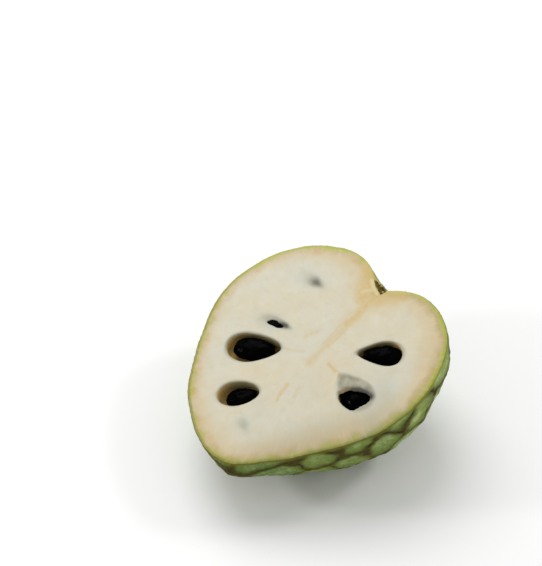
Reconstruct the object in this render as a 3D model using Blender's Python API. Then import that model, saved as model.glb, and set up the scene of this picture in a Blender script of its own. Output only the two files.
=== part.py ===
"""Half of a custard apple (cherimoya), cut lengthways through the stem, lying on its rounded back.

All pieces are made in the frame of the cut face, in millimetres: u runs along the core to the
stem, v across the face, w out of it, and (0, 0, 0) is the middle of the face. One placement then
sets that frame above the flat spot that the half rests on, whose centre is the part's origin.
"""

import bmesh
import bpy
import numpy as np
from math import cos, pi, radians, sin
from mathutils import Matrix

MM = 0.001

# Placement of the cut face: its middle above the rest spot, the stem end lifted, then turned.
FACE_CENTRE = (0.0, -2.0, 44.7)
LIFT = 16.0
TURN = 45.4

# Outline of the cut face without the stem hollow: angle from the stem, radius.
OUTLINE = ((0, 52), (30, 52), (60, 52.8), (90, 52), (120, 49.8), (145, 53.6), (170, 57.2),
           (185, 55.1), (200, 48.3), (220, 42.5), (245, 41.2), (280, 45.2), (318, 52.6))
# Outline of the lengthways section at right angles to the face: angle from the stem, radius.
BACK = ((0, 52), (30, 48), (60, 46.8), (90, 46.5), (120, 46.3), (150, 49.5), (180, 56.4))
SQUARENESS = 2.35      # of the cross-section; 2 is an ellipse

# Hollow round the stem, then the swellings: height, spread in degrees, angle from the stem, and
# angle below the face. They are a blunt one under the tip and a broad one under the right side.
HOLLOW_DEPTH, HOLLOW_WIDTH, HOLLOW_POWER = 14.0, 15.0, 1.5
SWELLINGS = ((3.0, 12.0, 181.0, 15.0), (2.6, 38.0, 274.0, 31.0))

# Flat scales all over the skin: how many a whole fruit has, how uneven their places are, how far
# they stretch towards the stem (in degrees) and over what angle, and how flat each one is.
SCALES = 120
SCALE_SPIN = 2.4
SCALE_UNEVENNESS, UNEVEN_TURNS, UNEVEN_STEPS = 0.05, 78.2, 13.0
SCALE_STRETCH, STRETCH_END = 26.0, 70.0
SCALE_FLATNESS = 1.1
SCALE_INSET = 0.009

# The scales are faint at the cut edge and at the stem: their strength at the edge, the distance
# below the cut over which they grow to full, and the angles from the stem where they do.
SCALE_FAINTEST = 0.3
SCALE_START, SCALE_GROWTH = 1.0, 8.0
SCALE_CLEAR_START, SCALE_CLEAR_GROWTH = 10.0, 18.0

# Rings of the skin's mesh: points in the first one, and distance between rings. A ring has half
# as many points as the one before it where they would come closer than a share of that distance.
MEAN_RADIUS = 46.0
RIM_SEGMENTS = 112
FEWEST_SEGMENTS = 14
RING_SPACING = 2.8
CLOSEST_SPACING = 0.66

# Seeds: place of the middle on the face, direction of the blunt end, depth of the middle, and
# length, width, thickness and taper, which is how much the width leans to the blunt end.
SEEDS = {
    "seed_left_large": ((-12.0, 23.3), 123.0, 3.5, (18.3, 10.0, 6.8, 0.25)),
    "seed_left_sliver": ((0.5, 23.1), 107.0, 4.2, (17.0, 6.8, 8.4, 0.4)),
    "seed_left_lower": ((-30.9, 12.9), 138.0, 4.9, (14.0, 8.3, 6.2, 0.15)),
    "seed_right_upper": ((17.0, -19.7), -54.0, 2.9, (16.3, 8.8, 5.6, 0.38)),
    "seed_right_lower": ((-2.4, -22.0), -104.0, 4.6, (17.2, 12.0, 6.2, 0.4)),
}
# Their pockets, in the same way, and whether the cut has opened the whole pocket.
POCKETS = {
    "seed_left_large": ((-12.7, 23.1), 126.0, 3.9, (22.2, 13.2, 7.4, 0.3), True),
    "seed_left_sliver": ((0.5, 23.1), 107.0, 4.4, (18.0, 7.8, 9.6, 0.4), False),
    "seed_left_lower": ((-31.6, 13.7), 137.0, 4.9, (16.7, 10.8, 7.0, 0.15), True),
    "seed_right_upper": ((16.6, -19.6), -54.0, 3.1, (18.2, 10.3, 6.2, 0.42), True),
    "seed_right_lower": ((-2.4, -22.0), -104.0, 4.6, (18.8, 13.8, 7.4, 0.4), False),
}
WIDENING = 0.18                  # how much wider an outline gets for each unit of its taper
SEED_FULLNESS = 2.2              # of the section across; 2 is an ellipse
SEED_RINGS = (25, 50, 72, 90)    # rings of half a seed, in degrees from its pole
POCKET_FLARE = 0.5               # widening of an open pocket at its top, each side
# The torn opening in the thin flesh that still covers part of the lower right pocket: place,
# direction, and length, width, thickness and taper of the shape that opens it.
TEAR_PLACE, TEAR_TURN, TEAR_SIZE = (-4.5, -24.4), -69.0, (13.2, 10.6, 8.0, 0.4)

# Stub of the stem in its seat: place of its middle, lean, radius, thickness, gap all round.
STUB_PLACE, STUB_LEAN, STUB_RADIUS, STUB_THICKNESS, STUB_GAP = (39.4, 0.6), -20.6, 3.7, 2.6, 0.3
SEAT_LENGTH = 8.0      # how far the seat is cut out beyond the stub
STUB_SEGMENTS = 24     # of its whole circle

# Colour and roughness of each material.
FLESH = ((0.62, 0.55, 0.38), 0.5)
SEED_COAT = ((0.006, 0.006, 0.007), 0.2)
BARK = ((0.12, 0.08, 0.03), 0.85)

FACE = Matrix.Rotation(radians(TURN), 4, "Z") @ Matrix.Rotation(radians(-LIFT), 4, "Y")
FACE.translation = [c * MM for c in FACE_CENTRE]
UP = np.array((sin(radians(LIFT)), 0.0, cos(radians(LIFT))))


def closed_curve(knots, angle):
    """Smooth curve through the knots, which are angles in degrees and values, all the way round."""
    at, value = np.array(knots, float).T
    at = np.concatenate((at - 360, at, at + 360))
    value = np.tile(value, 3)
    slope = np.zeros(len(at))
    slope[1:-1] = (value[2:] - value[:-2]) / (at[2:] - at[:-2])
    angle = np.mod(angle, 360)
    i = np.searchsorted(at, angle, side="right") - 1
    step = at[i + 1] - at[i]
    t = (angle - at[i]) / step
    return ((2 * t**3 - 3 * t**2 + 1) * value[i] + (t**3 - 2 * t**2 + t) * step * slope[i]
            + (3 * t**2 - 2 * t**3) * value[i + 1] + (t**3 - t**2) * step * slope[i + 1])


def scale_centres():
    """Directions of the scales' centres: a slightly uneven spiral from the stem end to the tip."""
    i = np.arange(SCALES) + 0.5
    along = 1 - 2 * i / SCALES
    across = np.sqrt(1 - along**2)
    golden = pi * (3 - 5**0.5)
    shifted = SCALE_UNEVENNESS * np.cos(UNEVEN_TURNS * i) / across
    turn = i * golden - SCALE_SPIN + shifted
    along = along + SCALE_UNEVENNESS * across * np.sin(UNEVEN_STEPS * i)
    across = np.sqrt(1 - along**2)
    return np.stack((along, across * np.cos(turn), across * np.sin(turn)), axis=-1)


def skin_radius(toward):
    """Distance from the middle of the face to the skin, for unit vectors with w <= 0."""
    from_stem = np.degrees(np.arccos(np.clip(toward[:, 0], -1, 1)))
    off_core = np.hypot(toward[:, 1], toward[:, 2])
    on_core = off_core < 1e-9
    side = np.where(on_core, 1, toward[:, 1] / np.maximum(off_core, 1e-9))
    deep = np.where(on_core, 0, toward[:, 2] / np.maximum(off_core, 1e-9))
    at_face = closed_curve(OUTLINE, np.where(side >= 0, from_stem, -from_stem))
    mirrored = BACK + tuple((360 - a, r) for a, r in BACK[-2:0:-1])
    at_back = closed_curve(mirrored, from_stem)
    power = 2 + (SQUARENESS - 2) * np.abs(np.sin(np.radians(from_stem)))
    radius = (np.abs(side / at_face)**power + np.abs(deep / at_back)**power)**(-1 / power)
    radius = radius - HOLLOW_DEPTH * np.exp(-(from_stem / HOLLOW_WIDTH)**HOLLOW_POWER)
    for height, spread, angle, under in SWELLINGS:
        a, b = radians(angle), radians(under)
        middle = np.array((cos(a) * cos(b), sin(a) * cos(b), -sin(b)))
        apart = np.degrees(np.arccos(np.clip(toward @ middle, -1, 1)))
        radius = radius + height * np.exp(-(apart / spread)**2)
    # Each scale is nearly flat, so the skin rises a little towards the scale's border.
    stretched = from_stem + SCALE_STRETCH * np.clip(1 - from_stem / STRETCH_END, 0, 1)**2
    across = np.sin(np.radians(stretched))
    seen = np.stack((np.cos(np.radians(stretched)), across * side, across * deep), axis=-1)
    nearest = (seen @ scale_centres().T).max(axis=1)
    below = np.clip((-toward[:, 2] * radius - SCALE_START) / SCALE_GROWTH, 0, 1)
    clear = np.clip((from_stem - SCALE_CLEAR_START) / SCALE_CLEAR_GROWTH, 0, 1)
    strength = (SCALE_FAINTEST + (1 - SCALE_FAINTEST) * below) * clear
    return radius * (1 + strength * (SCALE_FLATNESS * (1 / nearest - 1) - SCALE_INSET))


def add_object(name, bm, look=None, placement=None):
    bmesh.ops.recalc_face_normals(bm, faces=bm.faces)
    mesh = bpy.data.meshes.new(name)
    bm.to_mesh(mesh)
    bm.free()
    obj = bpy.data.objects.new(name, mesh)
    bpy.context.scene.collection.objects.link(obj)
    obj.matrix_world = FACE @ (placement or Matrix())
    if look:
        colour, roughness = look
        material = bpy.data.materials.new(name)
        material.use_nodes = True
        shader = material.node_tree.nodes["Principled BSDF"]
        shader.inputs["Base Color"].default_value = (*colour, 1)
        shader.inputs["Roughness"].default_value = roughness
        mesh.materials.append(material)
    return obj


def cut(obj, name, bm, placement=None):
    """Cuts the closed shape bm out of obj."""
    cutter = add_object(name, bm, None, placement)
    cutter.hide_render = True
    cutter.display_type = "WIRE"
    modifier = obj.modifiers.new(name, "BOOLEAN")
    modifier.operation = "DIFFERENCE"
    modifier.solver = "EXACT"
    modifier.object = cutter


def fruit_mesh():
    """The half fruit without pockets: rings of points from the cut edge down to the lowest
    pole, with half as many points to a ring wherever they come close together."""
    bm = bmesh.new()
    count = RIM_SEGMENTS
    rings = round(MEAN_RADIUS * pi / 2 / RING_SPACING)
    previous = None
    for k in range(rings):
        below = pi / 2 * k / rings
        spacing = 2 * pi * MEAN_RADIUS * cos(below) / count
        if spacing < CLOSEST_SPACING * RING_SPACING and count >= 2 * FEWEST_SEGMENTS:
            count //= 2
        around = np.arange(count) * 2 * pi / count
        toward = np.stack((cos(below) * np.cos(around), cos(below) * np.sin(around),
                           np.full(count, -sin(below))), axis=-1)
        points = toward * skin_radius(toward)[:, None]
        points += np.maximum(-(points @ UP + FACE_CENTRE[2]), 0)[:, None] * UP
        ring = [bm.verts.new(p * MM) for p in points]
        if previous is None:
            bm.faces.new(ring)
        elif len(previous) == count:
            for j in range(count):
                i = (j + 1) % count
                bm.faces.new((previous[j], previous[i], ring[i], ring[j])).smooth = True
        else:
            for j in range(count):
                i = (j + 1) % count
                a, b, c = previous[2 * j], previous[2 * j + 1], previous[2 * i]
                for corners in ((a, b, ring[j]), (b, ring[i], ring[j]), (b, c, ring[i])):
                    bm.faces.new(corners).smooth = True
        previous = ring
    pole = np.array(((0.0, 0.0, -1.0),))
    point = (pole * skin_radius(pole)[:, None])[0]
    point = point + max(-(point @ UP + FACE_CENTRE[2]), 0) * UP
    last = bm.verts.new(point * MM)
    for j in range(count):
        bm.faces.new((previous[j], previous[(j + 1) % count], last)).smooth = True
    bmesh.ops.triangulate(bm, faces=[f for f in bm.faces if len(f.verts) == 4])
    return bm


def pip(length, width, thickness, taper, open_above=None, segments=22):
    """A seed's shape, blunt at +X and narrow at -X, made of rings of its outline that shrink
    towards a pole below and a pole above. With open_above, the upper half is a shaft that
    widens a little up to that height."""
    shares = [sin(radians(a)) for a in SEED_RINGS]
    heights = [-(1 - q**SEED_FULLNESS)**(1 / SEED_FULLNESS) * thickness / 2 for q in shares]
    levels = list(zip(shares, heights))
    if open_above is None:
        levels += [(q, -z) for q, z in levels[-2::-1]]
        top = (0, 0, thickness / 2)
    else:
        levels.append((1 + POCKET_FLARE / width, open_above))
        top = (0, 0, open_above)
    bm = bmesh.new()
    lower = bm.verts.new((0, 0, -thickness / 2 * MM))
    upper = bm.verts.new([c * MM for c in top])
    rings = []
    for share, z in levels:
        ring = []
        for j in range(segments):
            a = 2 * pi * j / segments
            x = share * length / 2 * cos(a)
            y = share * width / 2 * sin(a) * (1 + taper * cos(a)) / (1 + WIDENING * taper)
            ring.append(bm.verts.new((x * MM, y * MM, z * MM)))
        rings.append(ring)
    for j in range(segments):
        i = (j + 1) % segments
        bm.faces.new((lower, rings[0][i], rings[0][j]))
        bm.faces.new((upper, rings[-1][j], rings[-1][i]))
        for below, above in zip(rings, rings[1:]):
            bm.faces.new((below[j], below[i], above[i], above[j]))
    for face in bm.faces:
        face.smooth = True
    return bm


def placed(place, turn, depth):
    move = Matrix.Translation((place[0] * MM, place[1] * MM, -depth * MM))
    return move @ Matrix.Rotation(radians(turn), 4, "Z")


def stub_mesh(radius, inner, outer, lower_half):
    """A disc round the stem's axis, X, between two distances along it."""
    bm = bmesh.new()
    segments = STUB_SEGMENTS // 2 if lower_half else STUB_SEGMENTS
    sweep = pi if lower_half else 2 * pi
    rings = []
    for x in (inner, outer):
        angles = [pi + sweep * j / segments for j in range(segments + lower_half)]
        rings.append([bm.verts.new((x * MM, radius * cos(a) * MM, radius * sin(a) * MM))
                      for a in angles])
    bm.faces.new(rings[0])
    bm.faces.new(rings[1][::-1])
    for j in range(len(rings[0])):
        i = (j + 1) % len(rings[0])
        bm.faces.new((rings[0][i], rings[0][j], rings[1][j], rings[1][i]))
    return bm


def build():
    for obj in list(bpy.data.objects):
        bpy.data.objects.remove(obj)

    fruit = add_object("fruit_half", fruit_mesh(), FLESH)
    for name, (place, turn, depth, size, open_pocket) in POCKETS.items():
        hole = pip(*size, depth + 1 if open_pocket else None)
        cut(fruit, "pocket_of_" + name, hole, placed(place, turn, depth))
    for name, (place, turn, depth, size) in SEEDS.items():
        add_object(name, pip(*size), SEED_COAT, placed(place, turn, depth))
    cut(fruit, "tear", pip(*TEAR_SIZE), placed(TEAR_PLACE, TEAR_TURN, 0))

    half = STUB_THICKNESS / 2
    seat = stub_mesh(STUB_RADIUS + STUB_GAP, -half - STUB_GAP, half + SEAT_LENGTH, False)
    cut(fruit, "stem_seat", seat, placed(STUB_PLACE, STUB_LEAN, 0))
    stub = stub_mesh(STUB_RADIUS, -half, half, True)
    add_object("stem_stub", stub, BARK, placed(STUB_PLACE, STUB_LEAN, 0))


build()
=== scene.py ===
"""The looks of half a custard apple (cherimoya), cut lengthways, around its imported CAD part.

The fruit is one closed mesh: the cut face, the seeds' pockets and the scaly skin. Shapes are
worked out in millimetres in the frame of the cut face, as in part.py: u runs along the core to
the stem, v across the face, w out of it, and (0, 0, 0) is the middle of the face. FACE places
that frame in the part's frame, in metres.
"""

from math import cos, pi, radians, sin

import bmesh
import bpy
import numpy as np
from mathutils import Matrix, Vector, geometry, kdtree
from numpy.linalg import norm


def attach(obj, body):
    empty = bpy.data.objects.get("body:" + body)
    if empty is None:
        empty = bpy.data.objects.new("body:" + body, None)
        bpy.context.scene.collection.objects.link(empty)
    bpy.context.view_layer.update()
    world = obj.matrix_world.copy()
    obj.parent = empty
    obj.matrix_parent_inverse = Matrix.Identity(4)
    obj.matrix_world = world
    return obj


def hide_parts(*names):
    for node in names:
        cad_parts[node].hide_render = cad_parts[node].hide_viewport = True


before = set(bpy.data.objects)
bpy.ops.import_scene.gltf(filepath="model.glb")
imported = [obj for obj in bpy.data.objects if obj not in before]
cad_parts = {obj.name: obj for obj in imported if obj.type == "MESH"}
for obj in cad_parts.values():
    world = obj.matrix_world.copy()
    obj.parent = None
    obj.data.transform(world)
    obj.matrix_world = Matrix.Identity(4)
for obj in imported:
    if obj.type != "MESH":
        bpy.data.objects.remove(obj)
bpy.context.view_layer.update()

MM = 0.001

# The shape of the half, as in part.py.
FACE_CENTRE = (0.0, -2.0, 44.7)
LIFT = 16.0
TURN = 45.4
OUTLINE = ((0, 52), (30, 52), (60, 52.8), (90, 52), (120, 49.8), (145, 53.6), (170, 57.2),
           (185, 55.1), (200, 48.3), (220, 42.5), (245, 41.2), (280, 45.2), (318, 52.6))
BACK = ((0, 52), (30, 48), (60, 46.8), (90, 46.5), (120, 46.3), (150, 49.5), (180, 56.4))
SQUARENESS = 2.35      # of the cross-section; 2 is an ellipse
HOLLOW_DEPTH, HOLLOW_WIDTH, HOLLOW_POWER = 14.0, 15.0, 1.5
SWELLINGS = ((3.0, 12.0, 181.0, 15.0), (2.6, 38.0, 274.0, 31.0))
SCALES = 120
SCALE_SPIN = 2.4
SCALE_UNEVENNESS, UNEVEN_TURNS, UNEVEN_STEPS = 0.05, 78.2, 13.0
SCALE_STRETCH, STRETCH_END = 26.0, 70.0
SCALE_FLATNESS = 1.1
SCALE_INSET = 0.009
SCALE_FAINTEST = 0.3
SCALE_START, SCALE_GROWTH = 1.0, 8.0
SCALE_CLEAR_START, SCALE_CLEAR_GROWTH = 10.0, 18.0

# Finer relief of the scales, which part.py leaves out. Places are distances from a scale's
# border, and the random fields are taken on a sphere of FIELD_RADIUS.
BORDER_WANDER, WANDER_SIZE = 0.012, 9.0
PAD_ROUNDING = 1.3
PAD_START, PAD_FULL, PAD_HEIGHTS, PAD_SINK = 0.5, 3.2, 0.25, 0.12
PAD_EDGE, EDGE_PLACE, EDGE_WIDTH = 0.22, 1.8, 1.0
GROOVE_DEPTH, GROOVE_WIDTH = 0.26, 0.8
BUMP_HEIGHT, BUMP_SIZE = 0.12, 5.0
GRAIN_HEIGHT, GRAIN_SIZE = 0.04, 2.2
FIELD_RADIUS = 50.0

# Seeds: place of the middle on the face, direction of the blunt end, depth of the middle, and
# length, width, thickness and taper, which is how much the width leans to the blunt end.
SEEDS = {
    "seed_left_large": ((-12, 23.3), 123, 3.5, (18.3, 10, 6.8, 0.25)),
    "seed_left_sliver": ((0.5, 23.1), 107, 4.2, (17, 6.8, 8.4, 0.4)),
    "seed_left_lower": ((-30.9, 12.9), 138, 4.9, (14, 8.3, 6.2, 0.15)),
    "seed_right_upper": ((17, -19.7), -54, 2.9, (16.3, 8.8, 5.6, 0.38)),
    "seed_right_lower": ((-2.4, -22), -104, 4.6, (17.2, 12, 6.2, 0.4)),
}
# Their pockets, in the same way, and whether the cut has opened the whole pocket.
POCKETS = {
    "seed_left_large": ((-12.7, 23.1), 126, 3.9, (22.2, 13.2, 7.4, 0.3), True),
    "seed_left_sliver": ((0.5, 23.1), 107, 4.4, (18, 7.8, 9.6, 0.4), False),
    "seed_left_lower": ((-31.6, 13.7), 137, 4.9, (16.7, 10.8, 7, 0.15), True),
    "seed_right_upper": ((16.6, -19.6), -54, 3.1, (18.2, 10.3, 6.2, 0.42), True),
    "seed_right_lower": ((-2.4, -22), -104, 4.6, (18.8, 13.8, 7.4, 0.4), False),
}
WIDENING = 0.18        # how much wider an outline gets for each unit of its taper
SEED_FULLNESS = 2.2    # of the section across; 2 is an ellipse
STUB_PLACE, STUB_LEAN, STUB_RADIUS, STUB_THICKNESS = (39.4, 0.6), -20.6, 3.7, 2.6

# Ragged openings of the two pockets that the flesh still partly covers: a middle, and the outline
# round it as directions and distances.
OPENINGS = {
    "seed_left_sliver": ((0.7, 23.1), (
        (20, 1.4), (65, 2.1), (98, 3.4), (114, 4.0), (133, 2.6), (160, 1.5), (205, 1.4),
        (254, 2.3), (274, 3.3), (292, 3.3), (303, 2.3), (335, 1.3))),
    "seed_right_lower": ((-4.2, -24.4), (
        (8, 2.9), (40, 2.7), (61, 3.3), (83, 4.0), (103, 4.9), (119, 6.2), (138, 6.2), (182, 5.4),
        (216, 5.8), (233, 5.2), (257, 4.8), (292, 6.2), (311, 6.2), (337, 4.4), (350, 3.5))),
}

# The skin's mesh, as in part.py but finer. The rings of its rounded cut edge are shares of a
# quarter turn.
MEAN_RADIUS = 46.0
RIM_SEGMENTS, FEWEST_SEGMENTS = 640, 20
RING_SPACING, CLOSEST_SPACING = 0.56, 0.62
RIM_ROUNDING, RIM_RINGS = 0.8, (0.0, 0.35, 0.7)

# The cut face's grid: how far it reaches along and across, its spacing, and the share of the
# spacing that stays clear of edges. Points down to FACE_DEPTH count as on the face.
GRID_ALONG, GRID_ACROSS = 62, 60
FACE_SPACING, FACE_CLEARANCE, FACE_DEPTH = 0.75, 0.55, 1.3

# The pockets' mesh. An open one has a lip (widening and height) and a wall (shares of its
# height), a covered one a torn edge (share of the way out and height) and a film over it. The
# rings of films and floors are in degrees.
POCKET_SEGMENTS, POCKET_UNEVENNESS = 112, 0.03
LIP = ((0.6, 0.0), (0.3, -0.12), (0.1, -0.4), (0.0, -1.0))
WALL_RINGS = (0.35, 0.7)
TORN_EDGE = ((0.02, 0.0), (0.0, -0.1), (0.0, -0.35))
TORN_RAGGEDNESS = 0.025
FILM_THICKNESS = 0.5
FILM_RINGS = (14, 28, 42, 56, 72)
FLOOR_RINGS = (90, 82, 74, 65, 56, 46, 36, 26, 15, 6)

# The seeds' mesh and relief. Seeds wider than TWISTED_FROM are twisted. The last ring's angle
# and the seam's spread are in degrees. A layer of random waves is its height, size and seed.
SEED_SEGMENTS, SEED_RINGS, SEED_POLE = 72, 37, 86
SEED_UNEVENNESS, SEED_SHOULDERS = 0.02, 0.92
TWIST_HEIGHT, TWIST_PACE, TWISTED_FROM = 0.35, 2.2, 8
WRINKLES = ((0.07, 3.2, 70), (0.035, 1.2, 80))
SEAM_HEIGHT, SEAM_SPREAD = 0.16, 6.0
SCAR_LENGTH = 1.1

# The stub is a wedge: shares of its thickness in the middle, lost on its positive side, and left
# at least. Then come its mesh, its rough cork and its fibres.
STUB_MEAN, STUB_SLIMMING, STUB_SLIMMEST = 0.78, 0.3, 0.48
ARC_POINTS, FLAT_POINTS = 61, 42
CORK = ((0.16, 1.1, 91), (0.09, 0.5, 92))
FIBRES, FIBRE_REACH, FIBRE_RADIUS, FIBRE_BEND = 7, (1.2, 2.6), (0.09, 0.16), 0.5
FIBRES_ACROSS, FIBRES_UNDER = (-2.6, 2.2), (0.3, 1.6)
FIBRE_TAPER = 0.75

FACE = Matrix.Rotation(radians(TURN), 4, "Z") @ Matrix.Rotation(radians(-LIFT), 4, "Y")
FACE.translation = [c * MM for c in FACE_CENTRE]
UP = np.array((sin(radians(LIFT)), 0.0, cos(radians(LIFT))))


def smoothstep(value, low, high):
    """0 where the value is low, 1 where it is high, and a smooth rise between."""
    t = np.clip((value - low) / (high - low), 0, 1)
    return t * t * (3 - 2 * t)


def ring_angles(count):
    """Angles of evenly spaced points round a ring."""
    return np.arange(count) * 2 * pi / count


def waves(points, size, seed, count=14):
    """A smooth random field of about -1 to 1, with bumps of a size. Each seed makes another."""
    rng = np.random.default_rng(seed)
    points = np.asarray(points, float)
    heading = rng.normal(size=(count, points.shape[1]))
    heading /= norm(heading, axis=1, keepdims=True)
    pace = rng.uniform(0.6, 1.4, count) * 2 * pi / size
    start = rng.uniform(0, 2 * pi, count)
    return np.sin(points @ (heading * pace[:, None]).T + start).sum(axis=1) * (2 / count)**0.5


def relief(points, layers, number=0):
    """Random heights in layers of waves, which are heights, sizes and seeds."""
    return sum(tall * waves(points, size, seed + number) for tall, size, seed in layers)


def closed_curve(knots, angle):
    """Smooth curve through the knots, which are angles in degrees and values, all the way round."""
    at, value = np.array(knots, float).T
    at = np.concatenate((at - 360, at, at + 360))
    value = np.tile(value, 3)
    slope = np.zeros(len(at))
    slope[1:-1] = (value[2:] - value[:-2]) / (at[2:] - at[:-2])
    angle = np.mod(angle, 360)
    i = np.searchsorted(at, angle, side="right") - 1
    step = at[i + 1] - at[i]
    t = (angle - at[i]) / step
    return ((2 * t**3 - 3 * t**2 + 1) * value[i] + (t**3 - 2 * t**2 + t) * step * slope[i]
            + (3 * t**2 - 2 * t**3) * value[i + 1] + (t**3 - t**2) * step * slope[i + 1])


def scale_centres():
    """Directions of the scales' centres: a slightly uneven spiral from the stem end to the tip."""
    i = np.arange(SCALES) + 0.5
    along = 1 - 2 * i / SCALES
    across = np.sqrt(1 - along**2)
    golden = pi * (3 - 5**0.5)
    shifted = SCALE_UNEVENNESS * np.cos(UNEVEN_TURNS * i) / across
    turn = i * golden - SCALE_SPIN + shifted
    along = along + SCALE_UNEVENNESS * across * np.sin(UNEVEN_STEPS * i)
    across = np.sqrt(1 - along**2)
    return np.stack((along, across * np.cos(turn), across * np.sin(turn)), axis=-1)


def skin(toward):
    """Points of the skin for unit vectors with w <= 0, and what its material needs to know:
    the distance from the scale's border in millimetres, a random number for each scale, the
    angle from the stem, and the direction round the stem."""
    from_stem = np.degrees(np.arccos(np.clip(toward[:, 0], -1, 1)))
    off_core = np.hypot(toward[:, 1], toward[:, 2])
    on_core = off_core < 1e-9
    side = np.where(on_core, 1, toward[:, 1] / np.maximum(off_core, 1e-9))
    deep = np.where(on_core, 0, toward[:, 2] / np.maximum(off_core, 1e-9))
    at_face = closed_curve(OUTLINE, np.where(side >= 0, from_stem, -from_stem))
    mirrored = BACK + tuple((360 - a, r) for a, r in BACK[-2:0:-1])
    at_back = closed_curve(mirrored, from_stem)
    power = 2 + (SQUARENESS - 2) * np.abs(np.sin(np.radians(from_stem)))
    radius = (np.abs(side / at_face)**power + np.abs(deep / at_back)**power)**(-1 / power)
    radius = radius - HOLLOW_DEPTH * np.exp(-(from_stem / HOLLOW_WIDTH)**HOLLOW_POWER)
    for height, spread, angle, under in SWELLINGS:
        a, b = radians(angle), radians(under)
        middle = np.array((cos(a) * cos(b), sin(a) * cos(b), -sin(b)))
        apart = np.degrees(np.arccos(np.clip(toward @ middle, -1, 1)))
        radius = radius + height * np.exp(-(apart / spread)**2)

    stretched = from_stem + SCALE_STRETCH * np.clip(1 - from_stem / STRETCH_END, 0, 1)**2
    across = np.sin(np.radians(stretched))
    seen = np.stack((np.cos(np.radians(stretched)), across * side, across * deep), axis=-1)
    field = toward * FIELD_RADIUS
    seen += BORDER_WANDER * np.stack([waves(field, WANDER_SIZE, k) for k in (1, 2, 3)], axis=-1)
    seen /= norm(seen, axis=1, keepdims=True)
    centres = scale_centres()
    closeness = seen @ centres.T
    order = np.argsort(-closeness, axis=1)[:, :5]
    first = order[:, 0]
    angle = np.arccos(np.clip(np.take_along_axis(closeness, order, axis=1), -1, 1))
    near = angle[:, 0]
    total = 0
    for k in range(1, 5):
        apart = (centres[first] * centres[order[:, k]]).sum(axis=1)
        to_border = radius * (angle[:, k]**2 - near**2) / (2 * np.arccos(apart))
        border = to_border if k == 1 else border
        total = total + np.exp(-to_border / PAD_ROUNDING)
    rounded = -PAD_ROUNDING * np.log(total)

    below = np.clip((-toward[:, 2] * radius - SCALE_START) / SCALE_GROWTH, 0, 1)
    clear = np.clip((from_stem - SCALE_CLEAR_START) / SCALE_CLEAR_GROWTH, 0, 1)
    strength = (SCALE_FAINTEST + (1 - SCALE_FAINTEST) * below) * clear
    radius = radius * (1 + strength * (SCALE_FLATNESS * (1 / np.cos(near) - 1) - SCALE_INSET))
    dice = np.random.default_rng(7).uniform(-1, 1, (SCALES, 3))
    pad = smoothstep(border, PAD_START, PAD_FULL)
    radius += strength * pad * (PAD_HEIGHTS * dice[first, 0] - PAD_SINK)
    radius += strength * (PAD_EDGE * np.exp(-((rounded - EDGE_PLACE) / EDGE_WIDTH)**2)
                          - GROOVE_DEPTH * np.exp(-(border / GROOVE_WIDTH)**2))
    radius += (strength * BUMP_HEIGHT * waves(field, BUMP_SIZE, 4)
               + GRAIN_HEIGHT * waves(field, GRAIN_SIZE, 5))
    points = toward * radius[:, None]
    points += np.maximum(-(points @ UP + FACE_CENTRE[2]), 0)[:, None] * UP
    return points, {"border": border, "rounded": rounded,
                    "tint": dice[first, 1], "blush": dice[first, 2],
                    "from_stem": from_stem, "round_v": side, "round_w": deep}


def egg(size, angles):
    """Points of a seed's outline, blunt at +X and narrow at -X."""
    length, width, _, taper = size
    x = length / 2 * np.cos(angles)
    y = width / 2 * np.sin(angles) * (1 + taper * np.cos(angles)) / (1 + WIDENING * taper)
    return np.stack((x, y), axis=-1)


def egg_share(points, place, turn, size, taper):
    """How far out points of the face are from an egg's middle, as a share of its outline."""
    length, width = size[:2]
    a = radians(turn)
    u, v = (points - place).T
    x = (u * cos(a) + v * sin(a)) * 2 / length
    y = (v * cos(a) - u * sin(a)) * 2 / width
    out = np.hypot(x, y)
    lean = np.clip(x / np.maximum(out, 1e-6), -1, 1)
    return np.hypot(x, y * (1 + WIDENING * taper) / (1 + taper * lean))


def on_face(points, place, turn, height=0.0):
    """Points of a flat outline, turned and moved to their place on the face."""
    a = radians(turn)
    x, y = points.T
    u = place[0] + x * cos(a) - y * sin(a)
    v = place[1] + x * sin(a) + y * cos(a)
    return np.stack((u, v, np.full(len(u), float(height))), axis=-1)


def polar(middle, far, angles):
    """Points of the face in given directions and distances from a middle."""
    return np.stack((middle[0] + far * np.cos(angles), middle[1] + far * np.sin(angles),
                     np.zeros(len(angles))), axis=-1)


def distances(points, edges):
    """How far points of the face are from the nearest of the edges' points."""
    tree = kdtree.KDTree(len(edges))
    for i, point in enumerate(edges):
        tree.insert((*point, 0), i)
    tree.balance()
    return np.array([tree.find((*point, 0))[2] for point in points])


def inside(points, polygon):
    """Which points lie inside a closed polygon of the face."""
    x, y = points.T
    found = np.zeros(len(points), bool)
    for (ax, ay), (bx, by) in zip(polygon, np.roll(polygon, -1, axis=0)):
        crosses = (ay > y) != (by > y)
        at = ax + (y - ay) * (bx - ax) / ((by - ay) or 1e-12)
        found ^= crosses & (x < at)
    return found


def between(points, rim, holes):
    """Which points lie inside the rim, but in none of the holes."""
    keep = inside(points, rim)
    for hole in holes:
        keep &= ~inside(points, hole)
    return keep


def new_object(name, data):
    obj = bpy.data.objects.new(name, data)
    bpy.context.scene.collection.objects.link(obj)
    return obj


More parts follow.
